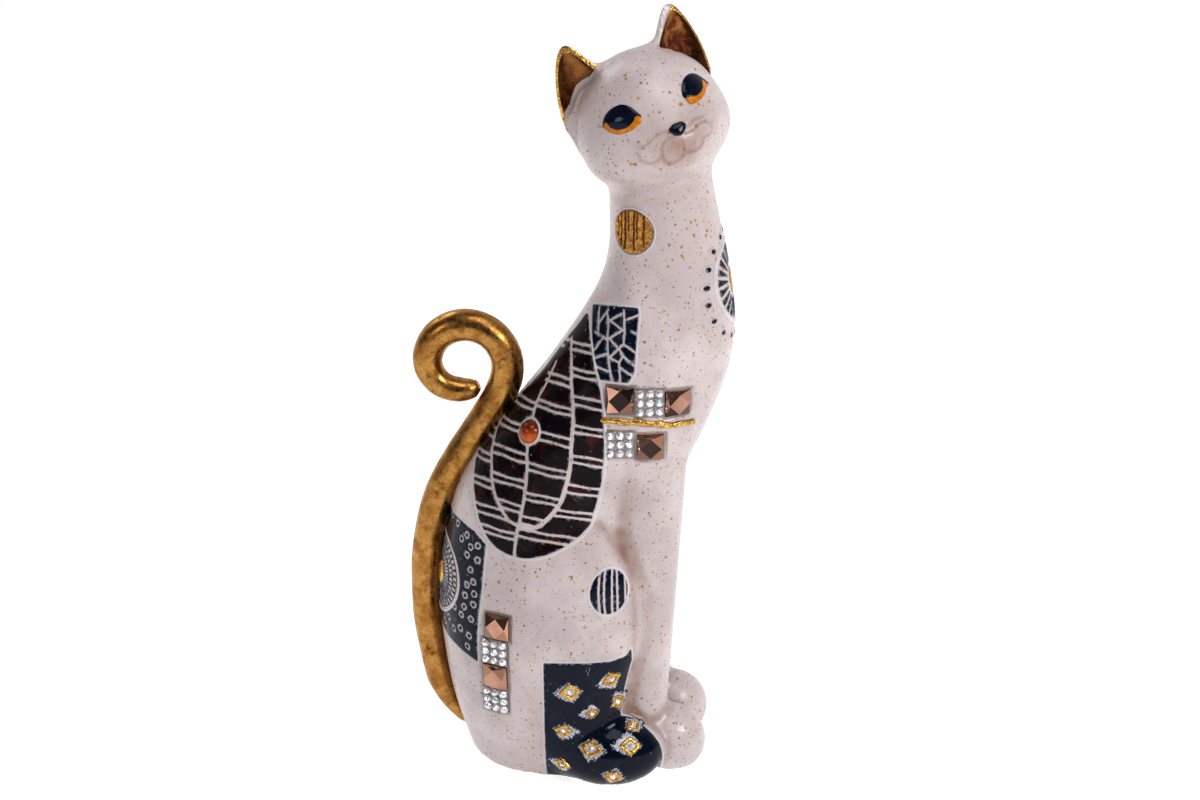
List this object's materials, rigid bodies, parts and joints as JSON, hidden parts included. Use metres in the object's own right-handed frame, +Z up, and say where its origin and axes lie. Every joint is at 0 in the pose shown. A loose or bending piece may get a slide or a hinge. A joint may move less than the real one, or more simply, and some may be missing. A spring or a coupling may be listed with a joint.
{
  "type": "seated cat figurine",
  "caption": "Tall seated cat figurine: hollow cast body in speckled cream with painted patches, gilded curled tail, set copper stones, crystals and an amber cabochon.",
  "frame": {"origin": "middle of the figurine's length and width, on the plane that it stands on", "axes": "+X towards the cat's chest and paws, +Y to the cat's left, +Z up"},
  "size_m": [0.1274, 0.0844, 0.2989],
  "materials": {
    "cast_body": "satin",
    "gilt": "satin",
    "copper_glass": "polished",
    "crystal_glass": "polished",
    "amber_glass": "polished",
    "silver_net": "satin",
    "board": "matte",
    "felt": "matte",
    "rubber": "satin",
    "steel": "satin",
    "navy_enamel": "gloss",
    "brown_enamel": "gloss",
    "gold_leaf": "gloss",
    "ear_gilt": "gloss",
    "eye_orange": "gloss",
    "eye_black": "gloss",
    "relief_cream": "satin"
  },
  "bodies": {
    "root": {"base_felt": "felt", "base_plate": "board", "body_casting": "cast_body", "left_cabochon": "amber_glass", "left_foot_crystals": "crystal_glass", "left_hip_lower_crystals": "crystal_glass", "left_hip_lower_net": "silver_net", "left_hip_lower_stone": "copper_glass", "left_hip_upper_crystals": "crystal_glass", "left_hip_upper_net": "silver_net", "left_hip_upper_stone": "copper_glass", "left_shoulder_lower_crystals": "crystal_glass", "left_shoulder_lower_net": "silver_net", "left_shoulder_lower_stone": "copper_glass", "left_shoulder_upper_crystals": "crystal_glass", "left_shoulder_upper_front_stone": "copper_glass", "left_shoulder_upper_net": "silver_net", "left_shoulder_upper_rear_stone": "copper_glass", "right_cabochon": "amber_glass", "right_foot_crystals": "crystal_glass", "right_hip_lower_crystals": "crystal_glass", "right_hip_lower_net": "silver_net", "right_hip_lower_stone": "copper_glass", "right_hip_upper_crystals": "crystal_glass", "right_hip_upper_net": "silver_net", "right_hip_upper_stone": "copper_glass", "right_shoulder_lower_crystals": "crystal_glass", "right_shoulder_lower_net": "silver_net", "right_shoulder_lower_stone": "copper_glass", "right_shoulder_upper_crystals": "crystal_glass", "right_shoulder_upper_front_stone": "copper_glass", "right_shoulder_upper_net": "silver_net", "right_shoulder_upper_rear_stone": "copper_glass", "tail_casting": "gilt", "tail_dowels": "steel", "vent_stopper": "rubber"}
  },
  "joints": []
}
